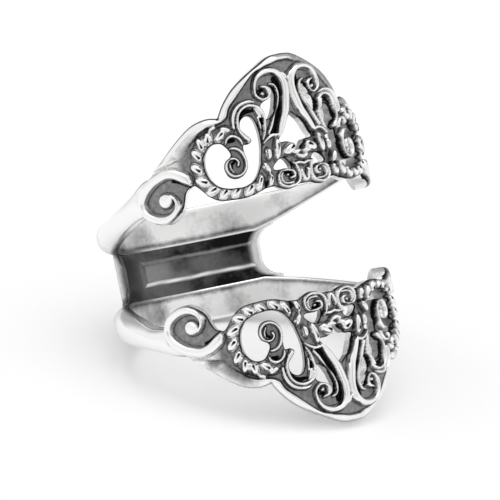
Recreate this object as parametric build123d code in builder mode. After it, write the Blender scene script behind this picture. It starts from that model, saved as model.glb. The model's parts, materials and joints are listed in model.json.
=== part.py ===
from build123d import *
import math
import os

# A guard ring: two pierced scroll crowns, each the mirror image of the other, stand apart along
# the finger and are joined behind it by one short bridge. It is cast and soldered silver, so it
# is one solid. It is drawn with the finger along Z and its front at -Y, then laid down as it
# rests by itself, on the tip of the lower crown and the lower rim at the back.
# All sizes are in millimetres and all angles in degrees.

# Driving dimensions
finger_radius = 8.65          # inside of the ring
crown_height = 13.1           # from the middle of the ring to the tip of a crown
floor_thickness = 0.75        # wall of the sunk ground between the scrolls
scroll_height = 0.55          # scrolls, rope and rim stand this far over the ground
strand_length = 1.15          # of one strand that shows in the rope
strand_width = 0.5
floret_strand_length = 0.8
floret_strand_width = 0.4
strand_taper = 0.3            # of the pointed end of a strand
strand_slant = -50.0          # of a strand to the way that the rope runs
shank_thickness = 1.5         # plain domed band, at its crest
shank_edge_thickness = 0.6    # the same band at its edges
shank_width = 2.4             # of each plain band at the back
gap_at_back = 3.6             # between the two bands where the bridge joins them
bridge_angle = 82.0           # round the finger
bridge_thickness = 0.75
bridge_recess = 0.3           # the bridge's inner face lies this far behind the bands'
bridge_end_angle = 9.0        # the rounded corners at each end of the bridge lie within this
bridge_end_round = 1.1
pad_width = 2.3               # raised plain pad on the bridge's inner face
pad_angle = 62.0
pad_height = 0.15

# The scroll pattern is drawn on squares, thirteen to the height of a crown. A point is (along,
# up): squares from the middle of the front, round the outside, and squares from the mid-plane.
squares_high = 13
square = crown_height / squares_high

# Outer border, from the tip of the crown past the cusp to the middle of the side lobe
tip_edge = [(0, 13), (1.1, 12.9), (2.2, 12.4), (3.4, 11.75), (4.4, 11.05), (5.2, 10.2), (5.75, 9.35)]
lobe_rise = [(5.75, 9.35), (6.6, 9.45), (7.6, 9.25), (8.45, 8.8)]
# On from there, down the side lobe and round the end curl to the notch beside the rope
lobe_fall = [(8.45, 8.8), (9.5, 8.05), (10.8, 7.05), (11.9, 6.3), (12.8, 5.6), (13.3, 4.6)]
curl_edge = [
    (13.3, 4.6), (12.8, 3.7), (12, 3.15), (11, 2.95), (10.1, 3.3), (9.55, 4), (9.1, 4.85), (8.45, 5.1),
]
# Edge of the crown along the gap, from the notch to the middle of the front
gap_edge = [
    (8.45, 5.1), (7.6, 4.25), (6.4, 3.6), (4.8, 3.55), (3.6, 3.75), (2.4, 3.85), (1.4, 3.65), (0, 3.95),
]
# Inner side of the bright rim, from the middle of the side lobe to the tip and to the shoulder
rim_to_tip = [
    (8.45, 7.75), (7.6, 8.4), (6.8, 8.8), (5.6, 9), (5.1, 9.45), (4.7, 10), (4, 10.8), (3.3, 11.4),
    (2.6, 12), (1.6, 12.35), (0, 12.45),
]
rim_to_shoulder = [(8.45, 7.75), (8.8, 7.4), (8.95, 7.1), (9.5, 7.05), (10.4, 6.95), (11.4, 6.6)]

# Piercings
comma_hole = [
    (3.1, 8.5), (3.4, 9.05), (3.75, 9.1), (4.1, 8.7), (4.15, 8.3), (3.75, 7.7), (3.8, 7.3), (4.25, 7.1),
    (4.22, 6.2), (4.6, 5.4), (5.35, 5.05), (5.95, 5.4), (6.05, 6.05), (5.6, 6.6), (5.45, 7.2), (6.1, 7.7),
    (6.95, 7.45), (7.4, 6.5), (7.2, 5.5), (6.4, 4.7), (5, 4.4), (3.9, 4.8), (3.2, 6.1), (3, 7.4),
]
teardrop_hole = [
    (1.3, 10.3), (1.6, 9.45), (2, 8.78), (2.3, 8.85), (2.38, 9.6), (1.85, 10.15), (1.55, 10.75),
    (1.35, 10.8),
]
half_moon_hole = [(1, 5.15), (1.1, 5.6), (1.6, 5.85), (2.1, 5.6), (2.33, 5.2), (1.7, 5.1)]
# Right half of the piercing in the middle of the front, from top to bottom
front_hole = [(0, 8.85), (0.8, 8.05), (1.5, 7.15), (1.15, 6.9), (0.6, 6.7), (0.3, 6.25), (0, 6)]

# Middle lines of the raised scrolls, and of the channel sunk along the broad one
lyre_scroll = [
    (1.95, 7.3), (1.5, 8.2), (1, 9.1), (0.72, 10), (0.65, 10.8), (0.98, 11.5), (1.65, 11.8), (2.3, 11.5),
    (2.5, 10.9), (2.2, 10.45), (1.85, 10.65),
]
lyre_channel = [
    (1.55, 8), (1.1, 9), (0.85, 9.9), (0.8, 10.7), (1.1, 11.3), (1.65, 11.45), (2.1, 11.2), (2.3, 10.85),
]
comma_scroll = [
    (2.85, 6.9), (2.6, 7.7), (2.55, 8.6), (2.8, 9.35), (3.35, 9.75), (3.95, 9.6), (4.4, 9.05), (4.45, 8.4),
    (4, 7.6),
]
inner_curl = [
    (4.9, 7.7), (4.6, 7), (4.5, 6.3), (4.75, 5.6), (5.3, 5.3), (5.75, 5.6), (5.8, 6.1), (5.4, 6.4),
    (5.05, 6.1),
]
end_curl = [
    (8.3, 5.65), (9.5, 6.25), (10.6, 6.35), (11.7, 6), (12.4, 5.3), (12.65, 4.5), (12.3, 3.75),
    (11.5, 3.35), (10.6, 3.35), (10, 3.85), (10.05, 4.4), (10.6, 4.65),
]
floret_curl = [
    (0.45, 5.1), (0.4, 4.4), (0.9, 3.95), (1.6, 3.95), (2.1, 4.3), (2.05, 4.8), (1.5, 4.95), (1.25, 4.5),
]
# Middle line of the rope, from the floret round the loop to the inner curl, and of the floret
rope_line = [
    (3.4, 4.75), (4.2, 4.1), (5.2, 3.95), (6.2, 4.05), (7.1, 4.55), (7.75, 5.35), (7.95, 6.3), (7.75, 7.2),
    (7.2, 7.95), (6.4, 8.35), (5.6, 8.25), (5, 7.8),
]
floret_line = [
    (2.85, 4.3), (2.95, 5), (2.8, 5.8), (2.45, 6.4), (1.8, 6.65), (1.1, 6.6), (0.6, 6.25), (0.35, 5.65),
    (0.2, 4.95), (0.3, 4.3),
]
# Width of each raised scroll in squares: at its start, its middle and its end
scroll_widths = [
    (lyre_scroll, (1.1, 1.2, 0.5)),
    (comma_scroll, (0.35, 0.8, 0.5)),
    (inner_curl, (0.6, 0.5, 0.35)),
    (floret_curl, (0.45, 0.45, 0.4)),
    (end_curl, (1.0, 0.75, 0.75)),
]
channel_widths = (0.4, 0.5, 0.4)
# The strands along each rope: their count, length and width
strand_rows = [
    (rope_line, 16, strand_length, strand_width),
    (floret_line, 11, floret_strand_length, floret_strand_width),
]

# The shoulder, where the plain band comes out from under the end curl, in squares, and how much
# of the shoulder's rise is left along the way from there to the bridge: (way, low edge, high edge)
shoulder_along = 12.3
shoulder_low = 3.5
shoulder_high = 5.95
shoulder_fall = [(0, 1, 1), (0.19, 0.53, 0.37), (0.43, 0.18, 0.14), (1, 0, 0)]

# The two ways that the curved pattern is looked at, in degrees round from the front
front_view = 22
side_view = 59

floor_radius = finger_radius + floor_thickness
scroll_radius = floor_radius + scroll_height
shank_radius = finger_radius + shank_thickness
shank_edge_radius = finger_radius + shank_edge_thickness
bridge_inner = finger_radius + bridge_recess
back_low = gap_at_back / 2
back_high = back_low + shank_width
bridge_turn = 180 - bridge_angle / 2
overlap = 0.05
reach = finger_radius * 2
tall = crown_height * 3
below_crown = back_low / 2


def angle_at(along):
    """Degrees round the finger of a place on the pattern."""
    return math.degrees(along * square / scroll_radius)


def outlook(turn):
    """The plane through the finger's axis that faces out at an angle round from the front."""
    turn = math.radians(turn)
    return Plane(
        origin=(0, 0, 0),
        x_dir=(math.cos(turn), math.sin(turn), 0),
        z_dir=(math.sin(turn), -math.cos(turn), 0),
    )


def slice_plane(turn):
    """The plane of a section through the band, with its first axis out from the finger."""
    turn = math.radians(turn)
    return Plane(
        origin=(0, 0, 0),
        x_dir=(math.sin(turn), -math.cos(turn), 0),
        z_dir=(-math.cos(turn), -math.sin(turn), 0),
    )


def seen_from(view, points):
    """Pattern points as they fall on the plane of a view."""
    return [
        (scroll_radius * math.sin(math.radians(angle_at(along) - view)), up * square)
        for along, up in points
    ]


def face_between(view, *lines):
    """A flat face inside smooth lines that follow each other round it, as a view sees them."""
    with BuildSketch(Plane.XY) as drawn:
        with BuildLine():
            for line in lines:
                points = seen_from(view, line)
                if len(points) == 2:
                    Line(*points)
                else:
                    Spline(*points)
        make_face()
    return drawn.sketch_local


def hole_face(view, line):
    """A flat face inside one smooth closed line."""
    with BuildSketch(Plane.XY) as drawn:
        with BuildLine():
            Spline(*seen_from(view, line), periodic=True)
        make_face()
    return drawn.sketch_local


def ribbon_face(view, line, widths):
    """A flat face along a smooth middle line, its width in squares at the start, middle and end."""
    with BuildLine():
        middle = Spline(*seen_from(view, line))
    steps = len(line) - 1
    left = []
    right = []
    for step in range(steps + 1):
        share = step / steps
        if share < 0.5:
            width = widths[0] + (widths[1] - widths[0]) * share * 2
        else:
            width = widths[1] + (widths[2] - widths[1]) * (share - 0.5) * 2
        place = middle @ share
        way = middle % share
        aside = Vector(-way.Y, way.X) * (width * square / 2)
        left.append(place + aside)
        right.insert(0, place - aside)
    round_end = middle @ 1 + (middle % 1) * (widths[2] * square / 2)
    with BuildSketch(Plane.XY) as drawn:
        with BuildLine():
            Spline(*left)
            ThreePointArc(left[-1], round_end, right[0])
            Spline(*right)
            Line(right[-1], left[0])
        make_face()
    return drawn.sketch_local


def strand_faces(view, line, count, length, width):
    """Slanted strands with pointed ends, side by side along the middle line of a rope."""
    with BuildLine():
        middle = Spline(*seen_from(view, line))
    end = length / 2
    side = length / 2 - strand_taper
    outline = [(end, 0), (side, width / 2), (-side, width / 2)]
    outline += [(-along, -across) for along, across in outline]
    with BuildSketch(Plane.XY) as drawn:
        for strand in range(count):
            share = (strand + 0.5) / count
            way = middle % share
            with Locations(middle @ share):
                Polygon(*outline, rotation=math.degrees(math.atan2(way.Y, way.X)) + strand_slant)
    return drawn.sketch_local


def band_section(turn, low, high):
    """Section of the plain band: domed outside, and reaching inside the finger's bore."""
    inner = finger_radius - floor_thickness
    with BuildSketch(slice_plane(turn)) as drawn:
        with BuildLine():
            Polyline((shank_edge_radius, low), (inner, low), (inner, high), (shank_edge_radius, high))
            ThreePointArc(
                (shank_edge_radius, high), (shank_radius, (low + high) / 2), (shank_edge_radius, low)
            )
        make_face()
    return drawn.sketch


# One side of the upper crown, pierced, and as thick as the scrolls
with BuildPart() as crown:
    with BuildSketch(outlook(front_view)):
        add(
            face_between(
                front_view,
                tip_edge,
                lobe_rise,
                [lobe_rise[-1], gap_edge[0]],
                gap_edge,
                [gap_edge[-1], tip_edge[0]],
            )
        )
        for hole in (comma_hole, teardrop_hole, half_moon_hole):
            add(hole_face(front_view, hole), mode=Mode.SUBTRACT)
    extrude(amount=reach)
    with BuildSketch(outlook(side_view)):
        add(face_between(side_view, lobe_fall, curl_edge, [curl_edge[-1], lobe_fall[0]]))
    extrude(amount=reach)
    with BuildSketch(outlook(0)):
        add(hole_face(0, front_hole + [(-along, up) for along, up in front_hole[-2:0:-1]]))
    extrude(amount=reach, mode=Mode.SUBTRACT)
    Cylinder(scroll_radius, tall, mode=Mode.INTERSECT)

# What is sunk between the rim, the scrolls and the strands, from the outside down to the ground
with BuildPart() as sunk:
    for view, rim_line in ((front_view, rim_to_tip), (side_view, rim_to_shoulder)):
        near = (rim_line[0][0], below_crown)
        far = (rim_line[-1][0], below_crown)
        with BuildSketch(outlook(view)):
            add(face_between(view, rim_line, [rim_line[-1], far], [far, near], [near, rim_line[0]]))
            for scroll, widths in scroll_widths:
                if view == front_view or scroll is end_curl:
                    add(ribbon_face(view, scroll, widths), mode=Mode.SUBTRACT)
            if view == front_view:
                add(ribbon_face(view, lyre_channel, channel_widths))
                for line, count, length, width in strand_rows:
                    add(strand_faces(view, line, count, length, width), mode=Mode.SUBTRACT)
        extrude(amount=reach)
    Cylinder(floor_radius, tall, mode=Mode.SUBTRACT)

# The plain domed band, from the shoulder to the middle of the back
with BuildPart() as band:
    shoulder_turn = angle_at(shoulder_along)
    loft(
        [
            band_section(
                shoulder_turn + (bridge_turn - shoulder_turn) * way,
                back_low + (shoulder_low * square - back_low) * low_share,
                back_high + (shoulder_high * square - back_high) * high_share,
            )
            for way, low_share, high_share in shoulder_fall
        ]
    )
    revolve(
        band_section(bridge_turn, back_low, back_high),
        axis=Axis.Z,
        revolution_arc=180 - bridge_turn,
    )

# The upper half of the bridge on one side: a curved plate with a raised pad on its inner face, and
# with a round corner where it meets the band at the end of the gap
with BuildPart() as bridge:
    plate_turn = bridge_turn - bridge_end_angle
    with BuildSketch(slice_plane(plate_turn)):
        with Locations((bridge_inner, 0)):
            Rectangle(bridge_thickness, back_low + overlap, align=Align.MIN)
    revolve(axis=Axis.Z, revolution_arc=180 - plate_turn)
    with BuildSketch(outlook(plate_turn)):
        end_length = 2 * bridge_inner * math.sin(math.radians(bridge_end_angle))
        RectangleRounded(end_length, gap_at_back, bridge_end_round)
    extrude(amount=reach, mode=Mode.SUBTRACT)
    with BuildSketch(slice_plane(180 - pad_angle / 2)):
        with Locations((bridge_inner - pad_height, 0)):
            Rectangle(2 * pad_height, pad_width / 2, align=Align.MIN)
    revolve(axis=Axis.Z, revolution_arc=pad_angle / 2)

# The whole ring, from one side of its upper half
with BuildPart() as ring:
    add(crown.part)
    add(sunk.part, mode=Mode.SUBTRACT)
    add(band.part)
    Cylinder(finger_radius, tall, mode=Mode.SUBTRACT)
    add(bridge.part)
    split(bisect_by=Plane.YZ, keep=Keep.TOP)
    mirror(about=Plane.YZ)
    mirror(about=Plane.XY)

# Laid on the tip of the lower crown and the lower rim at the back, over the origin
rest_tilt = math.degrees(math.atan2(crown_height - back_high, finger_radius + shank_edge_radius))
laid = Rotation(-rest_tilt, 0, 0) * ring.part
extent = laid.bounding_box()
guard_ring = Pos(-extent.center().X, -extent.center().Y, -extent.min.Z) * laid

os.makedirs("parts", exist_ok=True)
guard_ring.label = "guard_ring"
export_step(guard_ring, "parts/guard_ring.step")
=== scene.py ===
import json
import math

import bpy
import numpy as np
from mathutils import Matrix, Vector


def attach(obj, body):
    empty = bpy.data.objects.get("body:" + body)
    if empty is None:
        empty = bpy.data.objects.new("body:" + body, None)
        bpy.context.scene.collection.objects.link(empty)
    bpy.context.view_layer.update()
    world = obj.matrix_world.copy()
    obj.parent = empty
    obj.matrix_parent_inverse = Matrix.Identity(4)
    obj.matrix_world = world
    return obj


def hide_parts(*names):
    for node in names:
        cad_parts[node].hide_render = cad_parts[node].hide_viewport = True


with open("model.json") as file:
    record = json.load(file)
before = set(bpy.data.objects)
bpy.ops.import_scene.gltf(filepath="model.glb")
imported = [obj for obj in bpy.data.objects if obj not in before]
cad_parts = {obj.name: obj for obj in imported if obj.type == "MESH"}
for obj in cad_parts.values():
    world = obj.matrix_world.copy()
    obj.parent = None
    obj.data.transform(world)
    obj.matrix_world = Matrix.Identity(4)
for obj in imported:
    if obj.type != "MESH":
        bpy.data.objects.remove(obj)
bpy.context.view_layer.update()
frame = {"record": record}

# A silver guard ring: two pierced scroll crowns on plain bands, joined behind by a bridge.
# Every surface is drawn unrolled round the finger. A place is (along, up, out): along and up in
# squares, thirteen to the height of a crown, from the middle of the front and of the ring, and
# out in millimetres from the finger's axis. Angles are in degrees, turning from the front to +X.
# Some values are pairs for rise() or fall(): a start or an end, and the stretch beside it. The
# numbers for stripe() are its middle, its reach to each side and how full it is.

MM = 0.001
TINY = 1e-12                  # keeps a division from dividing by nothing
FAR = 9.0                     # stands for a distance or a share beyond all that counts
CHUNK = 4000                  # places measured at a time
bore = next(mount for mount in frame["record"]["mounts"] if mount["name"] == "finger_bore")
FINGER_RADIUS = bore["dims"]["r_mm"]
CROWN_HEIGHT = bore["dims"]["length_mm"] / 2
SQUARE = CROWN_HEIGHT / 13

# The crowns' plate
GROUND_THICKNESS = 0.75       # wall of the sunk ground between the scrolls
RELIEF = 0.55                 # the highest scrolls stand this far over the ground
GROUND_RADIUS = FINGER_RADIUS + GROUND_THICKNESS
CREST_RADIUS = GROUND_RADIUS + RELIEF
EDGE_ROUND = 0.13             # worn edges of the plate
GRID = 0.056                  # squares between the points of the crown's mesh
GRID_SIDE = 13.4              # squares from the middle of the grid to its ends
GRID_FOOT = 2.7               # squares up to its lowest and its highest row
GRID_TOP = 13.3
JOINING_ROUNDS = 3            # cells that touch at one corner are joined so many times over
FITTING_ROUNDS = 3            # and points on the border moved nearer to it,
FITTING_MOST = 0.75           # by at most this share of a cell
SLOPE_LEAST = 0.25            # squared slope of the distance that the moves reckon with at least
NEIGHBOUR = 0.12              # weight of a neighbour's height where heights are averaged

# The plain bands. A height on their section is 1 at the crest and -1 at the finger.
BAND_CREST = 1.5              # thickness of the plain bands at the crest of their dome
BAND_EDGE = 0.6
BAND_WIDTH = 2.4
BACK_GAP = 3.6                # between the two bands behind
SHOULDER_ALONG = 11.7         # the band comes out from under the end curl here
SHOULDER_LOW = 3.65           # its two edges there, in squares from the ring's middle
SHOULDER_HIGH = 6.2
CREST_WAYS = [0, 0.06, 0.115, 0.3, 0.5]
CRESTS = [0.66, 0.66, 1.15, 1.35, BAND_CREST]   # its crest, low under the curl and then rising
BAND_RINGS = 241              # sections along a band
BAND_SIDES = 40               # points round each of them
BAND_FULL = 0.9               # powers that shape the section: its sides,
BAND_DOME = 1.15              # its dome
BAND_INSIDE = 0.55            # and its inner face
INNER_FACE = -0.6             # height on the section under which the inner face begins
BAND_SHADE_LINE = 0.95              # painted shade line along the bands' edges away from the gap
BAND_SHADE_LINE_AT = (0.2, 0.25, 1.1)
GAP_SHADE_LINE = 0.6                # and where their inner face ends beside the gap
GAP_SHADE_LINE_AT = (-0.62, 0.25, 1)
BACK_SHADE = 0.4               # painted shade over the back of the bands
BACK_START = (102, 22)        # degrees from the front where it sets in
BACK_FOOT = -0.1              # height on the section that it reaches down to
CORNER_BACK = 217             # degrees: the face is darkened to black from here, behind the bridge's near end,
CORNER_END = (284, 42)        # to here, and fades over its last stretch
CORNER_AT = (0.05, 0.36, 1.4)
# How much of the shoulder's rise is left along the way from there to the bridge: (way, share). The
# worn bands aren't quite alike, so each has its own gap edge on the left (-X) and on the right.
UPPER_GAP_FALL = (
    [(0, 1.05), (0.16, 0.94), (0.3, 0.67), (0.49, 0.34), (0.7, 0.05), (1, -0.1)],
    [(0, 1.12), (0.17, 1.08), (0.34, 0.94), (0.58, 0.62), (0.84, 0.15), (1, -0.1)],
)
LOWER_GAP_FALL = (
    [(0, 1.25), (0.22, 1.15), (0.35, 0.82), (0.47, 0.55), (0.7, 0.17), (1, 0)],
    [(0, 1.2), (0.25, 1.0), (0.52, 0.66), (0.75, 0.33), (0.93, 0.09), (1, 0)],
)
UPPER_OUTER_FALL = [(0, 1.08), (0.1, 0.95), (0.2, 0.64), (0.3, 0.4), (0.4, 0.22), (0.55, 0.03), (1, 0)]
LOWER_OUTER_FALL = [(0, 1.1), (0.1, 1.0), (0.2, 0.84), (0.3, 0.68), (0.4, 0.55), (0.55, 0.4), (0.75, 0.2),
                    (1, 0)]

# The bridge behind, and the pad raised on its inner face
BRIDGE_ANGLE = 82.0
BRIDGE_THICKNESS = 0.75
BRIDGE_SIDE = 0.45            # its thickness beside the bands
BRIDGE_RECESS = 0.3
BRIDGE_TUCK = 0.35            # it runs this far in under each band
BRIDGE_FLAT = 4               # power that keeps its outside flat as far as the sides
BRIDGE_ROWS = 161             # points along it
BRIDGE_LEVELS = 49            # and across it
END_FLARE = 1.3               # round corners where the bridge meets the bands
PAD_TURN = 172.5              # middle of the raised pad, round from the front
PAD_ANGLE = 63.0
PAD_WIDTH = 1.9
PAD_HEIGHT = 0.15
PAD_BEVEL = 0.34              # width of its sloping edge
PAD_WAVE = 0.022              # the cast edge wanders by this
PAD_WAVES = [(1, 1.3, 0, 2), (0.5, 3.1, 2, 0)]   # (share of it, turn along, turn across, start)
PAD_DARK = (0.66, 0.2)        # tarnish and painted shade of the pad at its near end, and how much more painted shade at its far end
RECESS_DARK = (0.78, 0.14)    # the same round the pad
BEVEL_AT = (0.5, 0.6)         # stripe of the bevel that is worn and given a painted highlight, as shares of its width
BEVEL_TURN = -0.5             # the pad's lower bevel lies under this level
LOWER_WEAR_AND_HIGHLIGHT = (0.85, 0.15, 2.7)   # share of tarnish taken off it by wear and by a painted highlight, its wave and the wave's turn
UPPER_WEAR_AND_HIGHLIGHT = 0.22             # and off the upper one
END_WORN = (0.15, 0.7)        # distance from the bridge's far end, which is worn bright
END_LEAST = 0.25              # share of the tarnish that is left there
BRIDGE_CLOUDS = 0.3           # share of the finger side's clouds on its inner face
BRIDGE_DULL = 0.42            # tarnish of its outside
SIDE_SHADOW = 0.6               # painted shadow beside the bands: share of what is left to black that is added there
SIDE_REACH = 0.35

# Outer border of one side of the crown, from the tip round to the middle of the gap's edge
OUTLINE = [
    (0, 13.0), (1.1, 12.9), (2.2, 12.4), (3.4, 11.75), (4.4, 11.05), (5.2, 10.2), (5.75, 9.35),
    (5.76, 9.34), (6.6, 9.45), (7.6, 9.25), (8.45, 8.8), (9.5, 8.05), (10.8, 7.05), (11.9, 6.3),
    (12.8, 5.6), (13.15, 4.6), (12.8, 3.7), (12, 3.1), (11, 2.85), (10.1, 3.2), (9.55, 3.8),
    (9.1, 4.8), (8.45, 5.1), (7.9, 4.62), (7.4, 4.1), (6.7, 3.72), (5.6, 3.6), (4.6, 3.6), (3.9, 3.75),
    (3.2, 3.95), (2.5, 3.98), (2.1, 3.8), (1.6, 3.62), (1.0, 3.68), (0.5, 3.85), (0, 3.85),
]
# Inner side of the bright rim, from the middle of the front to the end curl
RIM_INSIDE = [
    (0, 12.5), (0.5, 12.48), (1.0, 12.36), (1.5, 12.27), (2.0, 12.12), (2.5, 11.93), (3.0, 11.55),
    (3.5, 11.08), (4, 10.6), (4.45, 10.2), (4.82, 9.8), (5.05, 9.3), (5.4, 9.05), (5.95, 8.9), (6.5, 8.84),
    (6.95, 8.68), (7.4, 8.45), (7.75, 8.15), (8.1, 7.88), (8.5, 7.5), (8.78, 7.15), (9.1, 7.02),
    (9.6, 6.95), (10.2, 6.82), (10.8, 6.72), (11.4, 6.6), (12.2, 6.3), (13.2, 6.0), (14.2, 5),
]
COMMA_HOLE = [
    (2.9, 7.85), (3.0, 8.5), (3.2, 8.95), (3.52, 9.12), (3.85, 9.05), (4.1, 8.85), (4.22, 8.5), (4.18, 8.2),
    (4.0, 7.93), (3.78, 7.75), (3.57, 7.5), (3.62, 7.3), (3.9, 7.18), (4.2, 7.2), (4.28, 6.95),
    (4.25, 6.55), (4.15, 6.1), (4.27, 5.55), (4.7, 5.1), (5.27, 5.0), (5.73, 5.2), (5.95, 5.62),
    (5.96, 6.0), (5.78, 6.32), (5.45, 6.5), (5.3, 6.7), (5.36, 6.95), (5.57, 7.27), (5.9, 7.58),
    (6.42, 7.63), (6.8, 7.47), (7.07, 7.2), (7.27, 6.85), (7.37, 6.3), (7.3, 5.7), (7.1, 5.25),
    (6.8, 4.87), (6.42, 4.62), (5.95, 4.45), (5.45, 4.38), (4.95, 4.35), (4.5, 4.42), (4.0, 4.65),
    (3.58, 5.08), (3.3, 5.55), (3.12, 6.1), (2.97, 6.7), (2.9, 7.25),
]
TEARDROP_HOLE = [
    (1.17, 10.45), (1.13, 10.2), (1.22, 9.84), (1.38, 9.4), (1.57, 9.05), (1.75, 8.8), (1.9, 8.68),
    (2.1, 8.67), (2.21, 8.8), (2.27, 9.1), (2.33, 9.37), (2.35, 9.6), (2.26, 9.76), (2.04, 9.88),
    (1.78, 10.0), (1.58, 10.2), (1.46, 10.45), (1.48, 10.7), (1.38, 10.84), (1.24, 10.72),
]
HALF_MOON_HOLE = [
    (0.93, 5.0), (0.92, 5.2), (1.03, 5.45), (1.23, 5.7), (1.45, 5.81), (1.7, 5.77), (2.0, 5.6), (2.2, 5.42),
    (2.31, 5.25), (2.2, 5.1), (1.9, 5.06), (1.4, 5.08), (1.1, 4.98),
]
FRONT_HOLE = [
    (0, 8.85), (0.5, 8.45), (0.72, 8.2), (1.17, 7.45), (1.45, 7.05), (1.3, 6.92), (0.8, 6.9), (0.45, 6.7),
    (0.2, 6.3), (0, 6.25),
]

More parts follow.
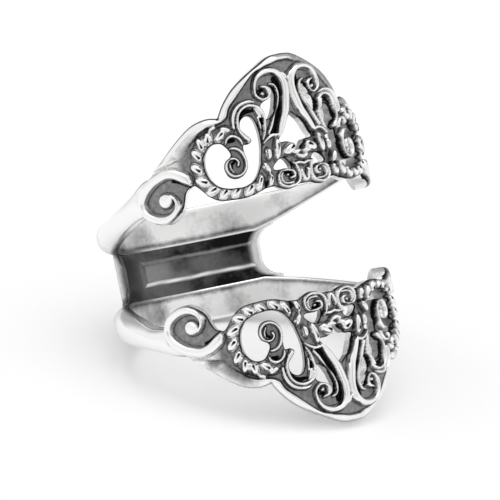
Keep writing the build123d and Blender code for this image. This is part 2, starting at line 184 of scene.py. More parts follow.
# Raised ridges: rows of (along, up, width) down the middle of each, and its height as a share of
# the relief
RIDGES = [
    (1.0, [  # broad outer ridge of the lyre scroll, from its foot round to its eye
        (1.52, 7.35, 0.2), (1.36, 7.65, 0.44), (1.17, 8.0, 0.56), (0.91, 8.5, 0.6), (0.65, 9.0, 0.62),
        (0.5, 9.5, 0.62), (0.38, 10, 0.62), (0.3, 10.5, 0.56), (0.33, 11, 0.56), (0.52, 11.45, 0.56),
        (0.9, 11.8, 0.5), (1.4, 11.92, 0.48), (1.9, 11.85, 0.44), (2.35, 11.6, 0.36), (2.6, 11.25, 0.3),
        (2.72, 10.85, 0.27), (2.74, 10.5, 0.23), (2.55, 10.2, 0.2), (2.2, 10.02, 0.19), (1.85, 10.1, 0.26),
        (1.65, 10.35, 0.38), (1.66, 10.6, 0.38), (1.85, 10.82, 0.26), (2.15, 10.92, 0.16),
    ]),
    (0.95, [  # its outer shoulder at the tip
        (0.5, 11.74, 0.08), (0.24, 11.52, 0.24), (0.05, 11.22, 0.14),
    ]),
    (0.75, [  # thin ridge along the inside of the lyre scroll
        (2.25, 7.7, 0.2), (2.0, 8.05, 0.22), (1.77, 8.5, 0.2), (1.52, 9.0, 0.17), (1.2, 9.5, 0.16),
        (1.03, 10, 0.15), (0.98, 10.35, 0.15), (1.04, 10.7, 0.14), (1.2, 10.94, 0.12), (1.45, 11.02, 0.1),
    ]),
    (0.8, [  # bead in the lyre scroll's eye
        (2.2, 10.45, 0.24), (2.14, 10.4, 0.24),
    ]),
    (1.0, [  # outer ridge of the comma scroll
        (2.9, 9.95, 0.1), (3.3, 10.08, 0.22), (3.85, 10.0, 0.27), (4.27, 9.77, 0.32), (4.57, 9.37, 0.34),
        (4.72, 8.88, 0.3), (4.72, 8.4, 0.16),
    ]),
    (0.85, [  # inner ridge of the comma scroll, down to the bead at its tip
        (2.78, 7.3, 0.1), (2.55, 7.8, 0.16), (2.42, 8.4, 0.2), (2.38, 8.95, 0.24), (2.55, 9.42, 0.28),
        (2.95, 9.7, 0.26), (3.45, 9.78, 0.24), (3.9, 9.62, 0.23), (4.22, 9.3, 0.22), (4.38, 8.85, 0.22),
        (4.4, 8.4, 0.24), (4.3, 8.1, 0.28), (4.06, 7.75, 0.36), (3.84, 7.48, 0.4),
    ]),
    (0.7, [  # leaf inside its right limb
        (2.98, 9.5, 0.1), (2.8, 9.25, 0.36), (2.7, 9.0, 0.34), (2.65, 8.8, 0.1),
    ]),
    (0.6, [  # low ridges beside the comma scroll's hole
        (2.84, 8.9, 0.08), (2.78, 8.5, 0.12), (2.74, 8.1, 0.1),
    ]),
    (0.7, [
        (2.56, 8.25, 0.12), (2.56, 8.05, 0.14),
    ]),
    (0.9, [  # arch between the comma scroll's tip and the rope
        (5.52, 7.5, 0.14), (5.4, 7.75, 0.2), (5.1, 7.93, 0.24), (4.75, 7.87, 0.22), (4.45, 7.6, 0.22),
        (4.35, 7.3, 0.16),
    ]),
    (0.95, [  # ridge of the inner curl
        (5.3, 7.1, 0.14), (5.0, 7.08, 0.22), (4.7, 6.93, 0.26), (4.46, 6.6, 0.26), (4.33, 6.15, 0.26),
        (4.36, 5.75, 0.26), (4.57, 5.38, 0.25), (4.97, 5.16, 0.25), (5.4, 5.2, 0.25), (5.72, 5.5, 0.25),
        (5.8, 5.9, 0.24), (5.65, 6.25, 0.22), (5.35, 6.42, 0.17), (5.02, 6.34, 0.15), (4.87, 6.1, 0.2),
        (4.95, 5.88, 0.2),
    ]),
    (0.6, [  # thin line inside it
        (5.5, 6.1, 0.07), (5.5, 5.8, 0.1), (5.32, 5.45, 0.08),
    ]),
    (0.9, [  # arch over the floret
        (2.88, 6.95, 0.08), (2.6, 7.2, 0.16), (2.3, 7.4, 0.25), (2.0, 7.5, 0.28), (1.7, 7.46, 0.26),
    ]),
    (0.9, [  # outer ring of the floret's curl
        (1.85, 4.95, 0.1), (2.1, 4.75, 0.13), (2.2, 4.4, 0.14), (2.12, 4.1, 0.16), (1.85, 3.87, 0.18),
        (1.5, 3.78, 0.2), (1.0, 3.85, 0.2), (0.66, 4.07, 0.2), (0.52, 4.4, 0.18), (0.53, 4.8, 0.18),
        (0.68, 5.15, 0.16), (0.85, 5.4, 0.1),
    ]),
    (0.8, [  # inner ring
        (1.78, 4.82, 0.08), (1.96, 4.6, 0.14), (1.97, 4.35, 0.17), (1.82, 4.12, 0.12), (1.5, 4.03, 0.13),
        (1.1, 4.04, 0.13),
    ]),
    (0.9, [  # its hook
        (1.75, 4.95, 0.1), (1.4, 4.93, 0.14), (1.05, 4.84, 0.18), (0.92, 4.65, 0.2), (1.0, 4.42, 0.22),
        (1.25, 4.36, 0.16),
    ]),
    (0.7, [  # its bead
        (1.43, 4.64, 0.16), (1.41, 4.58, 0.14),
    ]),
    (0.9, [  # arch between the two florets
        (0.66, 5.3, 0.14), (0.35, 5.3, 0.22), (0.0, 5.2, 0.26),
    ]),
    (0.85, [  # leaf beneath it
        (0.3, 4.85, 0.1), (0.26, 4.55, 0.2), (0.16, 4.2, 0.24), (0.0, 4.02, 0.2),
    ]),
    (1.05, [  # broad ridge of the end curl, round to its eye
        (8.62, 5.36, 0.4), (8.86, 5.68, 0.84), (9.4, 6.05, 0.86), (9.85, 6.22, 0.82), (10.35, 6.27, 0.8),
        (11.0, 6.12, 0.8), (11.7, 5.84, 0.84), (12.42, 5.34, 0.86), (12.82, 4.55, 0.64), (12.52, 3.8, 0.7),
        (11.75, 3.34, 0.72), (10.95, 3.2, 0.7), (10.3, 3.38, 0.62), (9.93, 3.72, 0.5), (9.82, 4.12, 0.36),
        (9.93, 4.5, 0.28), (10.15, 4.76, 0.28),
    ]),
    (1.0, [  # its bead
        (10.25, 4.74, 0.32), (10.5, 4.6, 0.8), (10.72, 4.5, 1.08), (10.8, 4.48, 1.1),
    ]),
]
# Pits blackened by age, sunk under the ground: rows of (along, up, width)
PITS = [
    [(0.95, 11.3, 0.36), (0.87, 11, 0.44), (0.72, 10.5, 0.36), (0.72, 10, 0.28), (0.92, 9.5, 0.28),
     (1.17, 9, 0.36), (1.35, 8.5, 0.42), (1.63, 8, 0.42), (1.78, 7.78, 0.4)],
    [(2.5, 11.05, 0.14), (2.52, 10.7, 0.2), (2.42, 10.4, 0.16)],
    [(2.35, 10.7, 0.12), (2.0, 10.68, 0.16)],
    [(3.15, 9.42, 0.2), (3.55, 9.42, 0.26), (3.95, 9.25, 0.2), (4.17, 8.9, 0.12)],
    [(2.62, 8.66, 0.24), (2.64, 8.4, 0.2), (2.66, 8.05, 0.12)],
    [(5.3, 7.62, 0.2), (5.08, 7.65, 0.26), (4.85, 7.6, 0.12)],
    [(5.2, 6.14, 0.2), (5.35, 6.0, 0.1), (5.42, 5.6, 0.1)],
    [(1.6, 4.78, 0.1), (1.3, 4.72, 0.24), (1.17, 4.6, 0.2)],
    [(2.08, 4.25, 0.06), (1.9, 3.98, 0.1), (1.4, 3.92, 0.1)],
    [(10.13, 4.48, 0.16), (10.1, 4.2, 0.14), (10.02, 3.95, 0.16)],
    [(10.0, 5.72, 0.14), (9.5, 5.55, 0.14), (9.0, 5.28, 0.16), (8.62, 5.14, 0.1)],
    [(5.76, 9.32, 0.06), (5.74, 9.06, 0.06)],
    [(0.42, 6.55, 0.1), (0.3, 6.35, 0.24), (0.18, 6.25, 0.12)],
    [(3.22, 4.55, 0.1), (3.2, 4.3, 0.2), (3.22, 4.0, 0.16)],
]

# Strands of the twisted rope and of the floret: (along, up) of their two tips, and their width
STRANDS = [
    (3.88, 3.88, 3.4, 5, 0.47), (4.8, 3.68, 4.1, 4.52, 0.6), (5.78, 3.72, 5.08, 4.45, 0.6),
    (6.7, 3.8, 5.86, 4.5, 0.6), (7.62, 4.32, 6.5, 4.72, 0.6), (8.22, 5.48, 7.02, 5.02, 0.63),
    (8.32, 6.55, 7.42, 5.78, 0.6), (8.04, 7.55, 7.32, 6.62, 0.58), (7.44, 8.3, 7.1, 7.25, 0.52),
    (6.62, 8.56, 6.74, 7.6, 0.58), (6.6, 8.6, 5.92, 8.8, 0.27), (6.22, 7.75, 5.42, 8.44, 0.55),
    (5.75, 8.64, 4.95, 8.3, 0.38),
    (2.62, 5.8, 2.55, 6.7, 0.38), (2.03, 5.68, 1.72, 7.25, 0.47), (1.42, 6.02, 0.4, 6.66, 0.65),
    (0.78, 5.98, 0.05, 6.18, 0.31), (0.5, 5.86, -0.25, 5.55, 0.29), (3.17, 5.8, 2.7, 4.9, 0.38),
    (2.98, 3.95, 2.66, 4.9, 0.4),
]
# Middle line of the bed that the rope's strands lie on
ROPE_LINE = [
    (3.6, 4.5), (4.4, 4.05), (5.4, 4.0), (6.3, 4.15), (7.1, 4.55), (7.65, 5.25), (7.85, 6.15), (7.7, 7.05),
    (7.28, 7.75), (6.65, 8.12), (5.9, 8.2), (5.2, 8.3),
]
ROPE_BED_WIDTH = 1.0
ROPE_BED = 0.45               # height of the bed, as a share of the relief
LINE_SEARCH = 0.3             # squares past a line's sides where it still counts
RIDGE_ROUND = 2.4             # powers that shape the ridges' and the strands' sections,
STRAND_ROUND = 2.6
STRAND_LEAF = 2.4             # and a strand's leaf-shaped outline
STRAND_HEIGHT = 1.1
STRAND_FULL = 1.12            # the strands have swollen together in casting
RIDGE_BRIGHT = 1.06           # the bright top of a ridge ends here, as a share of its half width,
STRAND_BRIGHT = 1.1           # and a strand's here,
RIGHT_BRIGHT = 0.82           # or here where it lies further right than RIGHT_FROM
RIGHT_FROM = 1
BRIGHT_FADE = 0.16            # over this share
RIM_HEIGHT = 1.0              # the bright rim along the crown's outer border
RIM_LIP = 0.3                 # its height at the border itself
RIM_FOOT = 0.2                # its round foot where it is narrow
WIDE_FOOT = 0.9               # and its long foot where it is wide
WIDE_RIM = (0.65, 0.5)        # widths that count as wide for its foot
RIM_SHARP = 0.08              # squares that its tarnish spreads from the foot where it is narrow
RIM_SOFT = 1.6                # and how many more where it is wide
SOFT_RIM = (0.75, 0.6)        # widths that count as wide for this
RIM_LINE_FADE = (7.8, 1)      # the black line at its foot fades out from here on
RIGHT_WORN = 0.8              # the rim right of the tip is worn down by this share
RIGHT_SHADE = 0.5              # and has painted shade on the upper crown
RIGHT_START = (0.2, 0.9)      # from here
RIGHT_END = (10.5, 1)         # to here
WALL_BRIGHT = 0.15            # tarnish of the walls round the crown, and of those in its holes
BRIGHT_HOLES = (0.6, 2.6)     # between these places right of the middle
WALL_DARK = 0.5               # and the painted shade on the walls in holes elsewhere
LOWER_SHADE = 0.74             # painted shade on the lower crown's rim beside the rope
DUSK_REACH = 1.2              # as far as this from the rim's foot
DUSK_RIM = (0.5, 0.3)         # widths of the rim that have it
DUSK_START = (5.2, 0.6)       # and squares along where it starts
DUSK_END = (11.4, 0.6)        # and ends
UPPER_EDGE_SHADE = 0.95             # painted shade line on the rim's outer border on the upper crown
LOWER_EDGE_SHADE = 0.5              # and on the lower one
TIP_WORN = 0.7                # share of the tarnish worn off between the end curl and the rim,
TIP_ALONG = (8.9, 0.8)        # from here along
TIP_UP = (6.1, 0.3)           # and up
PIT_DEPTH = 0.3
PIT_EDGE = (1.15, 0.3)        # a pit's black ends here, as a share of its half width
GROUND_DARK = 0.62            # tarnish of the ground, from 0 bright to 1 black
FOOT_BLACK = 0.8              # the black line at the foot of a ridge
FOOT_REACH = 0.055            # and its reach in squares
BORDER_DARK = (0.14, 0.1)     # squares: the painted shade line along the plate's borders
BORDER_END = (12.2, 2.5)      # it fades along the end curl, which runs into the band
BORDER_MATCH = 0.02           # squares by which two distances to the same border may differ
DARK_REFLECTION_START = 0.46             # a strand's painted dark reflection, a black streak, as shares of its length
DARK_REFLECTION_END = 0.7
DARK_REFLECTION_WIDTHS = (0.08, 0.34)    # its width at both ends, as shares of the strand's
DARK_REFLECTION_EDGE = (1.2, 0.4)        # its black ends here, as a share of its half width
DARK_REFLECTION_LEAST = 0.4              # narrower strands have no slit

# The silver's look, from bright through dull to black
BRIGHT_AT, BRIGHT = 0.27, (0.9, 0.9, 0.895, 1)
DULL_AT, DULL = 0.74, (0.26, 0.26, 0.263, 1)
BLACK_AT, BLACK = 1.0, (0.012, 0.012, 0.013, 1)
POLISH = 0.17                 # roughness where it is bright
INSIDE_ROUGH = 0.2            # and how much is added next to the finger
GRAIN = {"Scale": 3500, "Detail": 3}
CLOUDS = {"Scale": 330, "Detail": 4}
CLOUD_TARNISH = {"From Min": 0.42, "From Max": 0.74, "To Min": 0.06, "To Max": 0.5}
BUMP = {"Strength": 0.3, "Distance": 0.00003}

# The photo's camera, fitted in the ring's own frame: degrees round from the front towards -X, and
# above its middle plane, the roll, millimetres away, and lens in millimetres on a 36 mm sensor
CAMERA_AZIMUTH = 33.57
CAMERA_ELEVATION = -0.91
CAMERA_ROLL = -11.54
CAMERA_DISTANCE = 332.3
LENS = 334.4
SENSOR = 36
SHIFT_X = 0.0118
SHIFT_Y = 0.0069
CLIP_START = 0.01             # metres
CLIP_END = 10

# The white tent, the lamp over it and the paper floor
TENT_LIGHT = 0.97
OPENING_LIGHT = 0.72          # share of the tent's light that is left towards the camera
OPENING_ANGLES = (40, 24)     # degrees from its middle where this starts and is full
BACK_LIGHT = 0.45             # and behind the object
BACK_ANGLES = (62, 36)
BACK_RISE = 0.35              # how far its middle is above the horizon
KEY_ENERGY = 0.5
KEY_SIZE = 0.4
KEY_PLACE = (0.0, 0.1, 0.5)
FLOOR_SIZE = 3
FLOOR_COLOUR = (0.96, 0.96, 0.96, 1)
FLOOR_ROUGH = 0.6
FLOOR_GLOW = 0.13             # light that comes through the paper


def ring_to_row():
    """The ring's own frame, finger along Z and front at -Y, as it rests on the lower crown's tip."""
    up = Vector(bore["axis"]).normalized()
    side = Vector((1, 0, 0))
    back = up.cross(side)
    turn = Matrix((side, back, up)).transposed().to_4x4()
    place = Vector(bore["pos_m"])
    height = (CROWN_HEIGHT * up.z - FINGER_RADIUS * up.y) * MM
    middle = place - up * ((place.z - height) / up.z)
    return Matrix.Translation(middle) @ turn


RING = ring_to_row()


def rise(value, start, over):
    """0 up to a start, and from there in a straight line to 1 over a stretch."""
    return np.clip((value - start) / over, 0, 1)


def fall(value, end, over):
    """1 as far as a stretch before an end, and from there in a straight line to 0 at the end."""
    return np.clip((end - value) / over, 0, 1)


def stripe(value, middle, reach, full=1):
    """Up to 1 at a middle and falling to each side. Full over 1 gives it a flat top."""
    return np.clip(full - np.abs(value - middle) / reach, 0, 1)


def dome(share, power):
    """Height of a rounded crest at a share of its half width: 1 in the middle and 0 from its side."""
    return np.sqrt(np.clip(1 - share**power, 0, 1))


def round_over(inside, radius):
    """Share of the full height at a distance inside a rounded edge."""
    return np.sqrt(1 - (1 - rise(inside, 0, radius)) ** 2)


def smooth_line(rows, closed=False, parts=8):
    """Points on a Catmull-Rom curve through rows of two or more numbers."""
    rows = np.array(rows, dtype=float)
    if closed:
        rows = np.vstack([rows[-1], rows, rows[0], rows[1]])
    else:
        rows = np.vstack([2 * rows[0] - rows[1], rows, 2 * rows[-1] - rows[-2]])
    share = np.arange(parts)[:, None] / parts
    pieces = []
    for a, b, c, d in zip(rows, rows[1:], rows[2:], rows[3:]):
        pieces.append(
            0.5 * (2 * b + (c - a) * share + (2 * a - 5 * b + 4 * c - d) * share**2
                   + (3 * b - a - 3 * c + d) * share**3)
        )
    if not closed:
        pieces.append(rows[-2][None, :])
    return np.vstack(pieces)


def to_segments(points, line):
    """Distance of each point to each segment of a line, and the share along that segment."""
    start, end = line[:-1, :2], line[1:, :2]
    way = end - start
    long = np.maximum((way**2).sum(1), TINY)
    share = ((points[:, None, :] - start) * way).sum(2) / long
    share = np.clip(share, 0, 1)
    gap = points[:, None, :] - (start + share[..., None] * way)
    return np.sqrt((gap**2).sum(2)), share


def near(points, line, margin):
    """Which points lie within a margin of a line's box."""
    low, high = line[:, :2].min(0) - margin, line[:, :2].max(0) + margin
    return np.all((points > low) & (points < high), axis=1)


def shape_distance(points, line, far=2.0):
    """Signed distance to a closed line, up to far: less than nothing inside."""
    closed = np.vstack([line, line[:1]])
    found = np.full(len(points), far)
    some = np.nonzero(near(points, closed, far))[0]
    for chunk in np.array_split(some, max(1, len(some) // CHUNK)):
        place = points[chunk]
        distance = to_segments(place, closed)[0].min(1)
        start, end = closed[:-1], closed[1:]
        x, y = place[:, :1], place[:, 1:]
        crosses = (start[:, 1] > y) != (end[:, 1] > y)
        climb = np.where(end[:, 1] == start[:, 1], 1, end[:, 1] - start[:, 1])
        at = start[:, 0] + (y - start[:, 1]) * (end[:, 0] - start[:, 0]) / climb
        inside = (crosses & (x < at)).sum(1) % 2 == 1
        found[chunk] = np.where(inside, -distance, distance)
    return found


def mirrored(rows):
    """A closed line from one side's rows and their mirror image across the middle of the front."""
    line = smooth_line(rows)
    other = line[::-1].copy()
    other[:, 0] *= -1
    return np.vstack([line, other[1:-1]])


PLATE = mirrored(OUTLINE)
HOLES = [smooth_line(rows, closed=True) for rows in (COMMA_HOLE, TEARDROP_HOLE, HALF_MOON_HOLE)]
MIDDLE_HOLE = mirrored(FRONT_HOLE)
GROUND = mirrored(RIM_INSIDE + [(14.2, 2.0), (7, 2.0), (0, 2.0)])
RIDGE_LINES = [(height, smooth_line(rows)) for height, rows in RIDGES]
PIT_LINES = [smooth_line(rows) for rows in PITS]
BED_LINE = smooth_line([(x, y, ROPE_BED_WIDTH) for x, y in ROPE_LINE])


def line_share(points, line):
    """Distance from a ridge's middle as a share of its half width, and the distance past its side."""
    share = np.full(len(points), FAR)
    past = np.full(len(points), FAR)
    some = np.nonzero(near(points, line, line[:, 2].max() / 2 + LINE_SEARCH))[0]
    if len(some):
        distance, part = to_segments(points[some], line)
        half = (line[:-1, 2] + part * (line[1:, 2] - line[:-1, 2])) / 2
        share[some] = (distance / half).min(1)
        past[some] = (distance - half).min(1)
    return share, past


def strand_share(points, strand):
    """How far a place is from the middle of a leaf-shaped strand: 1 at its side."""
    x0, y0, x1, y1, width = strand
    width *= STRAND_FULL
    way = np.array([x1 - x0, y1 - y0])
    half = np.hypot(*way) / 2
    gap = points - [(x0 + x1) / 2, (y0 + y1) / 2]
    ahead = gap @ way / (2 * half)
    aside = (gap[:, 0] * way[1] - gap[:, 1] * way[0]) / (2 * half)
    return np.sqrt(np.abs(ahead / half) ** STRAND_LEAF + (2 * aside / width) ** 2)


def folded(points):
    """Places on the right half of the plate for points on either half."""
    return np.column_stack([np.abs(points[:, 0]), points[:, 1]])


def plate_distance(points):
    """Signed distance to the pierced plate: less than nothing in the metal."""
    places = folded(points)
    found = shape_distance(places, PLATE)
    for hole in HOLES + [MIDDLE_HOLE]:
        found = np.maximum(found, -shape_distance(places, hole))
    return found


def plate_relief(points, inside):
    """Height over the ground at each place, as a share of the relief, and the tarnish and painted shade
    there.

    The third and fourth are the rim's own painted shade on the upper and on the lower crown.
    """
    places = folded(points)
    along, up = places.T
    outer = np.maximum(-shape_distance(places, PLATE), 0)
    inner = shape_distance(places, GROUND)
    rim_width = outer + inner
    share = outer / np.maximum(rim_width, TINY)
    slope = RIM_LIP + (1 - RIM_LIP) * np.sin(np.pi / 2 * share)
    right = rise(points[:, 0], *RIGHT_START) * fall(points[:, 0], *RIGHT_END)
    height = RIM_HEIGHT * (1 - RIGHT_WORN * right)
    wide = rise(rim_width, *WIDE_RIM)
    gentle = rise(inner, 0, WIDE_FOOT)
    gentle = gentle**2 * (3 - 2 * gentle)
    foot = round_over(inner, RIM_FOOT) * (1 - wide) + gentle * wide
    height = np.where(inner > 0, height * slope * foot, 0)
    # where the rim is wide, its inner part is still dark
    bright = rise(inner, 0, RIM_SHARP + RIM_SOFT * rise(rim_width, *SOFT_RIM))
    past = np.where(inner < 0, -inner + rise(along, *RIM_LINE_FADE), FAR)
    # painted shade on the lower crown's rim beside the rope
    dusk = fall(inner, DUSK_REACH, DUSK_REACH) * rise(rim_width, *DUSK_RIM)
    dusk *= rise(along, *DUSK_START) * fall(along, *DUSK_END)
    share = line_share(places, BED_LINE)[0]
    height = np.maximum(height, ROPE_BED * dome(share, 2))
    for crest, line in RIDGE_LINES:
        share, beyond = line_share(places, line)
        height = np.maximum(height, crest * dome(share, RIDGE_ROUND))
        bright = np.maximum(bright, fall(share, RIDGE_BRIGHT, BRIGHT_FADE))
        past = np.minimum(past, np.where(beyond > 0, beyond, FAR))
    top = np.where(points[:, 0] > RIGHT_FROM, RIGHT_BRIGHT, STRAND_BRIGHT)
    for strand in STRANDS:
        share = strand_share(places, strand)
        height = np.maximum(height, STRAND_HEIGHT * dome(share, STRAND_ROUND))
        bright = np.maximum(bright, fall(share, top, BRIGHT_FADE))
        beyond = (share - 1) * strand[4] / 2
        past = np.minimum(past, np.where(beyond > 0, beyond, FAR))
    black = FOOT_BLACK * np.exp(-(past / FOOT_REACH) ** 2)
    for line in PIT_LINES:
        share = line_share(places, line)[0]
        black = np.maximum(black, fall(share, *PIT_EDGE))
        height -= PIT_DEPTH * np.clip(1 - share**2, 0, 1) * (1 - bright)
    tarnish_and_shade = (GROUND_DARK + (1 - GROUND_DARK) * black) * (1 - bright)
    # the ground is worn bright where it runs out between the end curl and the rim
    tip = rise(along, *TIP_ALONG) * rise(up, *TIP_UP)
    tarnish_and_shade *= 1 - TIP_WORN * tip
    # each wide strand gets a painted dark reflection: a black streak along its middle
    for x0, y0, x1, y1, width in STRANDS:
        if width < DARK_REFLECTION_LEAST:
            continue
        start, way = np.array([x0, y0]), np.array([x1 - x0, y1 - y0])
        dark_reflection = np.array([
            [*(start + way * DARK_REFLECTION_START), width * DARK_REFLECTION_WIDTHS[0]],
            [*(start + way * DARK_REFLECTION_END), width * DARK_REFLECTION_WIDTHS[1]],
        ])
        tarnish_and_shade = np.maximum(tarnish_and_shade, fall(line_share(places, dark_reflection)[0], *DARK_REFLECTION_EDGE))
    # a painted shade line along the plate's borders
    edge = fall(inside, *BORDER_DARK) * fall(along, *BORDER_END)
    # the rim's outer border has its own painted shade on each crown
    rim_edge = edge * (inner > 0) * (outer < inside + BORDER_MATCH)
    tarnish_and_shade = np.maximum(tarnish_and_shade, edge - rim_edge)
    # painted shade on the upper crown's rim right of the tip
    upper_rim = np.maximum(RIGHT_SHADE * right * (inner > 0), UPPER_EDGE_SHADE * rim_edge)
    lower_rim = np.maximum(LOWER_SHADE * dusk * (inner > 0), LOWER_EDGE_SHADE * rim_edge)
    return height, tarnish_and_shade, upper_rim, lower_rim


def plate_cells():
    """The grid's points and the square cells of it that lie in the metal, closed at their corners."""
    across = math.ceil(GRID_SIDE / GRID)
    rows = math.ceil((GRID_TOP - GRID_FOOT) / GRID)
    along = np.arange(-across, across + 1) * GRID
    up = GRID_FOOT + np.arange(rows + 1) * GRID
    grid = np.stack(np.meshgrid(along, up, indexing="ij"), -1)
    middles = grid[:-1, :-1].reshape(-1, 2) + GRID / 2
    inside = (plate_distance(middles) < 0).reshape(len(along) - 1, len(up) - 1)
    # cells that touch at one corner only are joined by a third
    for _ in range(JOINING_ROUNDS):
        a, b = inside[:-1, :-1], inside[1:, 1:]
        c, d = inside[1:, :-1], inside[:-1, 1:]
        one = a & b & ~c & ~d
        two = c & d & ~a & ~b
        inside[1:, :-1] |= one
        inside[:-1, :-1] |= two
    return grid, inside


def quad_sides(quads):
    """The four edges of each quad."""
    return np.concatenate([quads[:, [0, 1]], quads[:, [1, 2]], quads[:, [2, 3]], quads[:, [3, 0]]])


def plate_mesh():
    """The pierced and scrolled plate, unrolled.

    It gives the points, quads and border edges, each point's depth inside the border, height and
    tarnish with painted shade on either crown, and the border's points with the painted shade of the wall
    under each.
    """
    grid, inside = plate_cells()
    wide, high = grid.shape[:2]
    number = np.arange(wide * high).reshape(wide, high)
    i, j = np.nonzero(inside)
    quads = np.stack([number[i, j], number[i + 1, j], number[i + 1, j + 1], number[i, j + 1]], 1)
    edges = quad_sides(quads)
    key = np.sort(edges, 1)
    key = key[:, 0].astype(np.int64) * (wide * high) + key[:, 1]
    order, count = np.unique(key, return_counts=True)
    border = edges[np.isin(key, order[count == 1])]
    used = np.unique(quads)
    places = grid.reshape(-1, 2)[used].copy()
    lookup = np.full(wide * high, -1)
    lookup[used] = np.arange(len(used))
    quads, border = lookup[quads], lookup[border]
    rim = np.unique(border)
    step = GRID / 4
    for _ in range(FITTING_ROUNDS):
        here = plate_distance(places[rim])
        right = plate_distance(places[rim] + [step, 0])
        above = plate_distance(places[rim] + [0, step])
        slope = np.stack([right - here, above - here], 1) / step
        size = np.maximum((slope**2).sum(1), SLOPE_LEAST)
        move = -(here / size)[:, None] * slope
        long = np.hypot(*move.T)
        places[rim] += move * np.minimum(1, GRID * FITTING_MOST / np.maximum(long, TINY))[:, None]
    depth = -plate_distance(places)
    depth[rim] = 0
    height, tarnish_and_shade, upper_rim, lower_rim = plate_relief(places, depth)
    # neighbours are averaged once, so that steep feet don't show the grid
    total = height.copy()
    weight = np.ones(len(places))
    pairs = quad_sides(quads)
    for a, b in (pairs.T, pairs.T[::-1]):
        np.add.at(total, a, height[b] * NEIGHBOUR)
        np.add.at(weight, a, NEIGHBOUR)
    # walls round the crown and in the holes between BRIGHT_HOLES stay light, the others get painted shade
    outside = np.abs(shape_distance(folded(places[rim]), PLATE)) < GRID
    first, last = BRIGHT_HOLES
    bright = outside | ((places[rim, 0] > first) & (places[rim, 0] < last))
    wall = np.where(bright, WALL_BRIGHT, WALL_DARK)
    shades = [np.maximum(tarnish_and_shade, upper_rim), np.maximum(tarnish_and_shade, lower_rim)]
    return places, quads, border, depth, total / weight, shades, rim, wall


def crown_mesh(name, plate, sign):
    """One crown, rolled up: sign is 1 for the upper and -1 for the lower."""
    places, quads, border, depth, height, shades, rim, wall = plate
    drop = EDGE_ROUND * (1 - round_over(depth * SQUARE, EDGE_ROUND))
    outside = GROUND_RADIUS + RELIEF * height - drop
    within = FINGER_RADIUS + drop
    turn = places[:, 0] * SQUARE / CREST_RADIUS
    level = places[:, 1] * SQUARE * sign
    top = np.stack([np.sin(turn) * outside, -np.cos(turn) * outside, level], 1)
    under = np.stack([np.sin(turn) * within, -np.cos(turn) * within, level], 1)
    count = len(places)
    # the walls have points of their own, so that their painted shade ends at the edge
    own = np.zeros(count, dtype=int)
    own[rim] = 2 * count + np.arange(len(rim))
    start, end = own[border[:, 0]], own[border[:, 1]]
    walls = np.stack([end, start, start + len(rim), end + len(rim)], 1)
    faces = np.concatenate([quads, quads[:, ::-1] + count, walls])
    if sign < 0:
        faces = faces[:, ::-1]
    inside = np.repeat([0.0, 1.0, 0.0], [count, count, 2 * len(rim)])
    shade = shades[0] if sign > 0 else shades[1]
    tarnish_and_shade = np.concatenate([shade, np.zeros(count), wall, wall])
    points = np.concatenate([top, under, top[rim], under[rim]])
    return make_piece(name, points, faces, tarnish_and_shade, inside, SILVER)


def make_piece(name, points, faces, tarnish_and_shade, inside, material):
    """A mesh object from places in the ring's frame in millimetres.

    Each point has its tarnish and painted shade, and inside: its share of the clouds next to the finger.
    """
    mesh = bpy.data.meshes.new(name)
    turn = np.array(RING)
    points = points * MM @ turn[:3, :3].T + turn[:3, 3]
    mesh.from_pydata(points.tolist(), [], faces if isinstance(faces, list) else faces.tolist())
    for label, values in (("tarnish_and_shade", tarnish_and_shade), ("inside", inside)):
        mesh.attributes.new(label, "FLOAT", "POINT").data.foreach_set("value", values.astype(np.float32))
    mesh.polygons.foreach_set("use_smooth", [True] * len(mesh.polygons))
    mesh.update()
    piece = bpy.data.objects.new(name, mesh)
    bpy.context.scene.collection.objects.link(piece)
    mesh.materials.append(material)
    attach(piece, "root")
    return piece


def tube_faces(rings, sides):
    """Quads round a tube of equal rings."""
    faces = []
    for ring in range(rings - 1):
        for side in range(sides):
            a = ring * sides + side
            b = ring * sides + (side + 1) % sides
            faces.append((a, b, b + sides, a + sides))
    return faces


